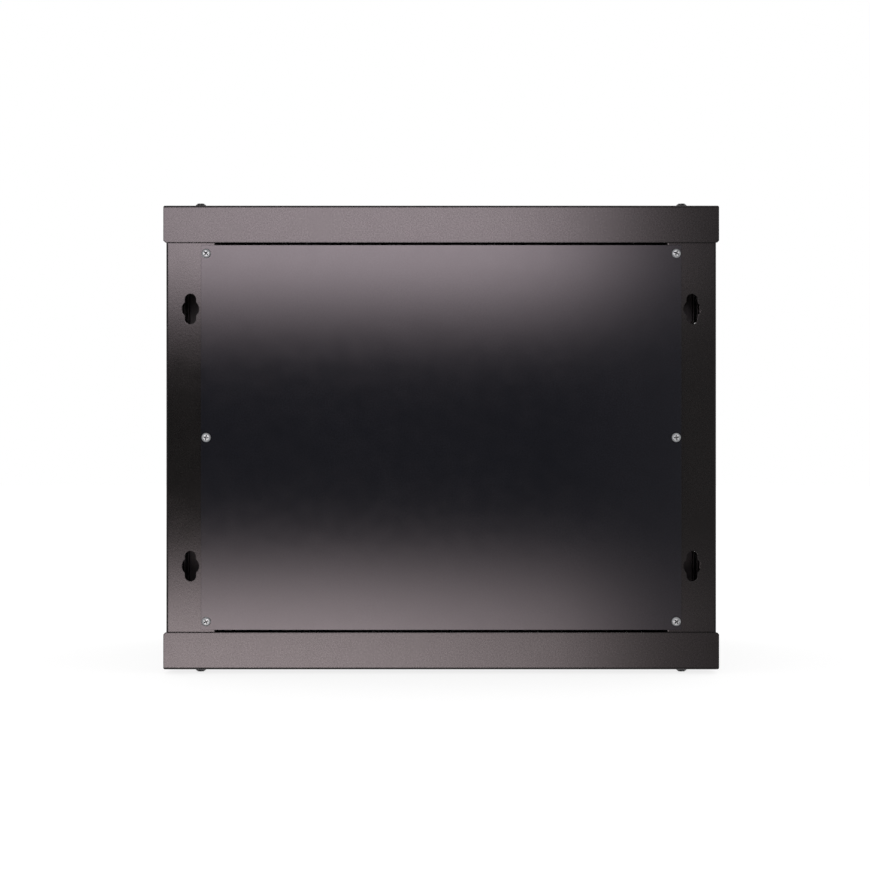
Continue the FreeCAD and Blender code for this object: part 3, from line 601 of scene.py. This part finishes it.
screws_for("rear_panel_screws", "cabinet", "bright_zinc", M5, Y, along, (40, 12, 65, 28, 80, 52))
screws_for("top_cover_bolts", "cabinet", "black_zinc", M6, Z, along, (10, 55, 33, 76))
screws_for("bottom_cover_bolts", "cabinet", "black_zinc", M6, Z, against, (25, 70, 5, 48))
screws_for("cable_entry_screws", "cabinet", "black_zinc", M4, Z, along, (15, 62))
screws_for("rail_bolts", "cabinet", "bright_zinc", M6_SHORT, Z, to_covers,
           (20, 66, 41, 8, 83, 30, 57, 14))
screws_for("door_lock_cam_screw", "door_lock", "bright_zinc", CAM_HEAD, Y, along, (35,))
for lock in ("left_panel_lock", "right_panel_lock"):
    screws_for(lock + "_cam_screw", lock, "bright_zinc", CAM_HEAD, X, to_middle, (20,))

# ---- the springs on the hinge pins ----
PIN_X = -0.289
PIN_Y = -0.441
SPRING_FOOT_Z = 0.1845    # on the upper pin's guide
SPRING_RADIUS = 3.7 * MM
WIRE_RADIUS = 0.4 * MM
WIRE_SIDES = 10
SPRING_LENGTH = 20.5 * MM
SPRING_TURNS = 5


def pin_spring():
    """A round-wire spring that stands on z = 0, with a closed coil at each end."""
    low = WIRE_RADIUS
    high = SPRING_LENGTH - WIRE_RADIUS
    pitch = (high - low) / SPRING_TURNS
    pieces = [coil(SPRING_RADIUS, WIRE_RADIUS, WIRE_SIDES, pitch, SPRING_TURNS, low)]
    for height in (low, high):
        bpy.ops.mesh.primitive_torus_add(major_radius=SPRING_RADIUS, minor_radius=WIRE_RADIUS,
                                         major_segments=32, minor_segments=WIRE_SIDES,
                                         location=(0, 0, height))
        ring = bpy.context.object
        settle(ring)
        pieces.append(ring)
    return join(pieces, "spring")


def fit_pin_spring(end, way):
    """The spring of the upper or lower pin, which stands up (1) or down (-1) from its foot."""
    node = end + "_pin_spring"
    foot = Vector((PIN_X, PIN_Y, way * SPRING_FOOT_Z))
    turn = Matrix.Rotation(0 if way > 0 else HALF_TURN, 4, "X")
    spring = copies(pin_spring(), [Matrix.Translation(foot) @ turn], node + "_detail")
    smooth(spring, degrees=60)
    finish_piece(spring, "bright_zinc", "front_door", node, SPRING_WIRE)
    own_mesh(spring)


fit_pin_spring("upper", 1)
fit_pin_spring("lower", -1)


# ---- the rubber buffers that the door shuts on ----
def rubber_buffer(radius, height):
    """A rubber buffer that stands on z = 0, with a round rim and a dished top."""
    rim_round = 0.45 * height
    dish_inset = 0.3 * radius
    dish_depth = 0.12 * height
    near_top = 0.9 * height
    buffer = cylinder(radius, 0, height)
    open_mesh(buffer)
    ease_edges(buffer, lambda corner: corner.z > near_top, rim_round, segments=7)
    pick_top(buffer, near_top)
    bpy.ops.mesh.inset(thickness=dish_inset)
    bpy.ops.transform.translate(value=(0, 0, -dish_depth))
    close_mesh()
    return buffer


def fit_door_buffers():
    """Each buffer's foot is at the high y of its box, and its top faces the door."""
    boxes = solid_boxes("door_buffers")
    low, high = boxes[0]
    buffer = rubber_buffer((high.x - low.x) / 2, high.y - low.y)
    smooth(buffer, degrees=50)
    face_door = Matrix.Rotation(QUARTER_TURN, 4, "X")
    places = []
    for low, high in boxes:
        foot = Vector(((low.x + high.x) / 2, high.y, (low.z + high.z) / 2))
        places.append(Matrix.Translation(foot) @ face_door)
    buffers = copies(buffer, places, "door_buffers_detail")
    finish_piece(buffers, "rubber", "cabinet", "door_buffers")


fit_door_buffers()

# ---- the earth stud and its nut ----
STUD_PITCH = 1.0 * MM
NUT_ACROSS_FLATS = 10.0 * MM
NUT_BORE_RADIUS = 3.1 * MM


def hex_nut(across_flats, height, bore_radius):
    """A hexagon nut that stands on z = 0, with its corners chamfered at both ends."""
    corner_radius = across_flats / math.sqrt(3)
    chamfer = 0.08 * across_flats
    nut = cylinder(corner_radius, 0, height, sides=6)
    turned = cylinder(corner_radius, 0, height, sides=96)
    open_mesh(turned)
    ease_edges(turned, lambda corner: corner.z > 0.9 * height, chamfer)
    ease_edges(turned, lambda corner: corner.z < 0.1 * height, chamfer)
    close_mesh()
    combine(nut, turned, "INTERSECT")
    combine(nut, cylinder(bore_radius, -height, 2 * height), "DIFFERENCE")
    return nut


def fit_earth_stud():
    """The stud stands on the cabinet's floor, and the nut lies at the stud's foot."""
    low, high = solid_boxes("earth_stud")[0]
    foot = Matrix.Translation(Vector(((low.x + high.x) / 2, (low.y + high.y) / 2, low.z)))
    shank = threaded_shank((high.x - low.x) / 2, high.z - low.z, STUD_PITCH)
    end_up = Matrix.Rotation(HALF_TURN, 4, "X")
    stud = copies(join(shank, "stud"), [foot @ end_up], "earth_stud_detail")
    smooth(stud)
    finish_piece(stud, "bright_zinc", "cabinet", "earth_stud")
    low, high = solid_boxes("earth_nut")[0]
    nut = hex_nut(NUT_ACROSS_FLATS, high.z - low.z, NUT_BORE_RADIUS)
    nut = copies(nut, [foot], "earth_nut_detail")
    smooth(nut, degrees=30)
    finish_piece(nut, "bright_zinc", "cabinet", "earth_nut")


fit_earth_stud()

# ---- stage ----
FLOOR_RADIUS = 9
FLOOR_GAP = 0.2 * MM         # under the lowest bolt heads
FLOOR_DARK = (0.79, 0.79, 0.79)
FLOOR_PALE = (0.81, 0.81, 0.81)
SHADOW_SHARE = 0.35          # of the floor's white that comes from the light on it
FLOOR_GLOW = 0.82

LAMP_DISTANCE = 2.6          # from the wall plane, behind the back
LAMP_SIDE = 0.04
LAMP_RISE = 0.42             # one lamp is above the cabinet's middle and one below
LAMP_WIDTH = 1.4
LAMP_HEIGHT = 0.6
LAMP_POWER = 20.9

# (position, level) stops of light, with positions from 0 to 1 across or up a lamp
UPPER_ACROSS = [(0.0, 0.85), (0.12, 0.95), (0.31, 1), (0.6, 1), (0.72, 0.76), (0.82, 0.32),
                (0.91, 0.07), (1, 0.03)]
UPPER_UPWARD = [(0.0, 0), (0.14, 0.02), (0.31, 0.38), (0.46, 1), (0.85, 1), (1, 0)]
LOWER_ACROSS = [(0.12, 1), (0.37, 0.93), (0.53, 0.78), (0.72, 0.53), (0.82, 0.21), (0.91, 0.07),
                (1, 0.04)]
LOWER_UPWARD = [(0.0, 0), (0.15, 1), (0.4, 1), (0.534, 0.76), (0.665, 0.37), (0.815, 0.03),
                (0.964, 0)]

# and the same round the room, from -Y at 0 to +Y at 1
ROOM_LIGHT = [(0.35, 0.95), (0.62, 0.5), (0.8, 0.45), (0.95, 0.03)]
SIDE_LIGHT = 0.19            # the room's lowest level well towards -X
SIDE_LIGHT_STARTS = -0.03    # the direction's x where it begins
SIDE_LIGHT_WHOLE = -0.14     # and where it is at its full level

CAMERA_DISTANCE = 2.4        # from the wall plane, behind the back
CAMERA_SIDE = 0.0067
CAMERA_RISE = 0.0027
LENS = 92.0
FACING_BACK = (QUARTER_TURN, 0, HALF_TURN)


def floor_finish():
    """White paper: evenly white to the eye, and darker only in the object's shadow."""
    finish = Finish("white floor", Roughness=0.9, Specular_IOR_Level=0.1)
    shade = finish.noise(scale=2, detail=2)
    finish.to("Base Color", finish.colours(shade, [(0.3, FLOOR_DARK), (0.7, FLOOR_PALE)]))
    paper = finish.node("ShaderNodeBsdfDiffuse", {"Color": (SHADOW_SHARE,) * 3 + (1,)})
    glow = finish.node("ShaderNodeEmission", {"Strength": FLOOR_GLOW})
    white = finish.node("ShaderNodeAddShader", {0: paper.outputs[0], 1: glow.outputs[0]})
    finish.stand_in(white, "Is Camera Ray", "Is Transmission Ray")
    return finish.material


def lay_floor(height):
    """A round floor that isn't seen in gloss and casts no shadow of its own."""
    bpy.ops.mesh.primitive_circle_add(vertices=96, radius=FLOOR_RADIUS, fill_type="NGON",
                                      location=(0, 0, height))
    floor = bpy.context.object
    floor.name = "floor"
    wear(floor, floor_finish())
    floor.visible_glossy = False
    floor.visible_shadow = False


def stops_on(ramp, stops):
    """Put grey (position, level) stops on a colour ramp, with a smooth curve through them."""
    ramp.interpolation = "B_SPLINE"
    while len(ramp.elements) < len(stops):
        ramp.elements.new(0.5)
    for element, (position, level) in zip(ramp.elements, stops):
        element.position = position
        element.color = (level, level, level, 1)


def maximum(tree, first, second):
    """The greater of two values in a node tree."""
    made = tree.nodes.new("ShaderNodeMath")
    made.operation = "MAXIMUM"
    tree.links.new(first, made.inputs[0])
    tree.links.new(second, made.inputs[1])
    return made.outputs[0]


def studio_world():
    """White all round to the eye; a lit room before the door, and a dim one behind the back.

    Behind the back the room is a little lighter towards -X.
    """
    world = bpy.data.worlds.new("studio")
    bpy.context.scene.world = world
    world.use_nodes = True
    tree = world.node_tree
    tree.nodes.clear()
    way = tree.nodes.new("ShaderNodeTexCoord")
    parts = tree.nodes.new("ShaderNodeSeparateXYZ")
    tree.links.new(way.outputs["Generated"], parts.inputs[0])
    towards_wall = tree.nodes.new("ShaderNodeMapRange")
    towards_wall.inputs["From Min"].default_value = -1
    tree.links.new(parts.outputs["Y"], towards_wall.inputs["Value"])
    room = tree.nodes.new("ShaderNodeValToRGB")
    stops_on(room.color_ramp, ROOM_LIGHT)
    tree.links.new(towards_wall.outputs[0], room.inputs[0])
    towards_side = tree.nodes.new("ShaderNodeMapRange")
    towards_side.interpolation_type = "SMOOTHSTEP"
    towards_side.inputs["From Min"].default_value = SIDE_LIGHT_STARTS
    towards_side.inputs["From Max"].default_value = SIDE_LIGHT_WHOLE
    towards_side.inputs["To Max"].default_value = SIDE_LIGHT
    tree.links.new(parts.outputs["X"], towards_side.inputs["Value"])
    lighter = maximum(tree, room.outputs[0], towards_side.outputs[0])
    rays = tree.nodes.new("ShaderNodeLightPath")
    seen = maximum(tree, rays.outputs["Is Camera Ray"], rays.outputs["Is Transmission Ray"])
    white = tree.nodes.new("ShaderNodeMix")
    white.data_type = "RGBA"
    white.inputs["B"].default_value = (1, 1, 1, 1)
    tree.links.new(seen, white.inputs["Factor"])
    tree.links.new(lighter, white.inputs["A"])
    sky = tree.nodes.new("ShaderNodeBackground")
    tree.links.new(white.outputs["Result"], sky.inputs["Color"])
    output = tree.nodes.new("ShaderNodeOutputWorld")
    tree.links.new(sky.outputs[0], output.inputs["Surface"])


def softbox(name, rise, colour, across, upward):
    """A lamp behind the back that faces it, brighter or dimmer by (position, level) stops."""
    lamp = bpy.data.lights.new(name, "AREA")
    lamp.shape = "RECTANGLE"
    lamp.size = LAMP_WIDTH
    lamp.size_y = LAMP_HEIGHT
    lamp.energy = LAMP_POWER
    lamp.color = colour
    lamp.use_nodes = True
    tree = lamp.node_tree
    spot = tree.nodes.new("ShaderNodeNewGeometry")
    parts = tree.nodes.new("ShaderNodeSeparateXYZ")
    tree.links.new(spot.outputs["Parametric"], parts.inputs[0])
    level = tree.nodes.new("ShaderNodeMath")
    level.operation = "MULTIPLY"
    for count, stops in enumerate((across, upward)):
        ramp = tree.nodes.new("ShaderNodeValToRGB")
        stops_on(ramp.color_ramp, stops)
        tree.links.new(parts.outputs[count], ramp.inputs[0])
        tree.links.new(ramp.outputs[0], level.inputs[count])
    tree.links.new(level.outputs[0], tree.nodes["Emission"].inputs["Strength"])
    box = bpy.data.objects.new(name, lamp)
    bpy.context.scene.collection.objects.link(box)
    box.location = (LAMP_SIDE, LAMP_DISTANCE, rise)
    box.rotation_euler = FACING_BACK
    box.visible_camera = False


def place_camera():
    data = bpy.data.cameras.new("camera")
    data.lens = LENS
    camera = bpy.data.objects.new("camera", data)
    bpy.context.scene.collection.objects.link(camera)
    camera.location = (CAMERA_SIDE, CAMERA_DISTANCE, CAMERA_RISE)
    camera.rotation_euler = FACING_BACK
    bpy.context.scene.camera = camera


lay_floor(cad_box[0].z - FLOOR_GAP)
studio_world()
softbox("upper softbox", LAMP_RISE, (1.0, 0.945, 0.96), UPPER_ACROSS, UPPER_UPWARD)
softbox("lower softbox", -LAMP_RISE, (1.0, 0.94, 0.92), LOWER_ACROSS, LOWER_UPWARD)
place_camera()
bpy.context.scene.view_settings.view_transform = "Standard"
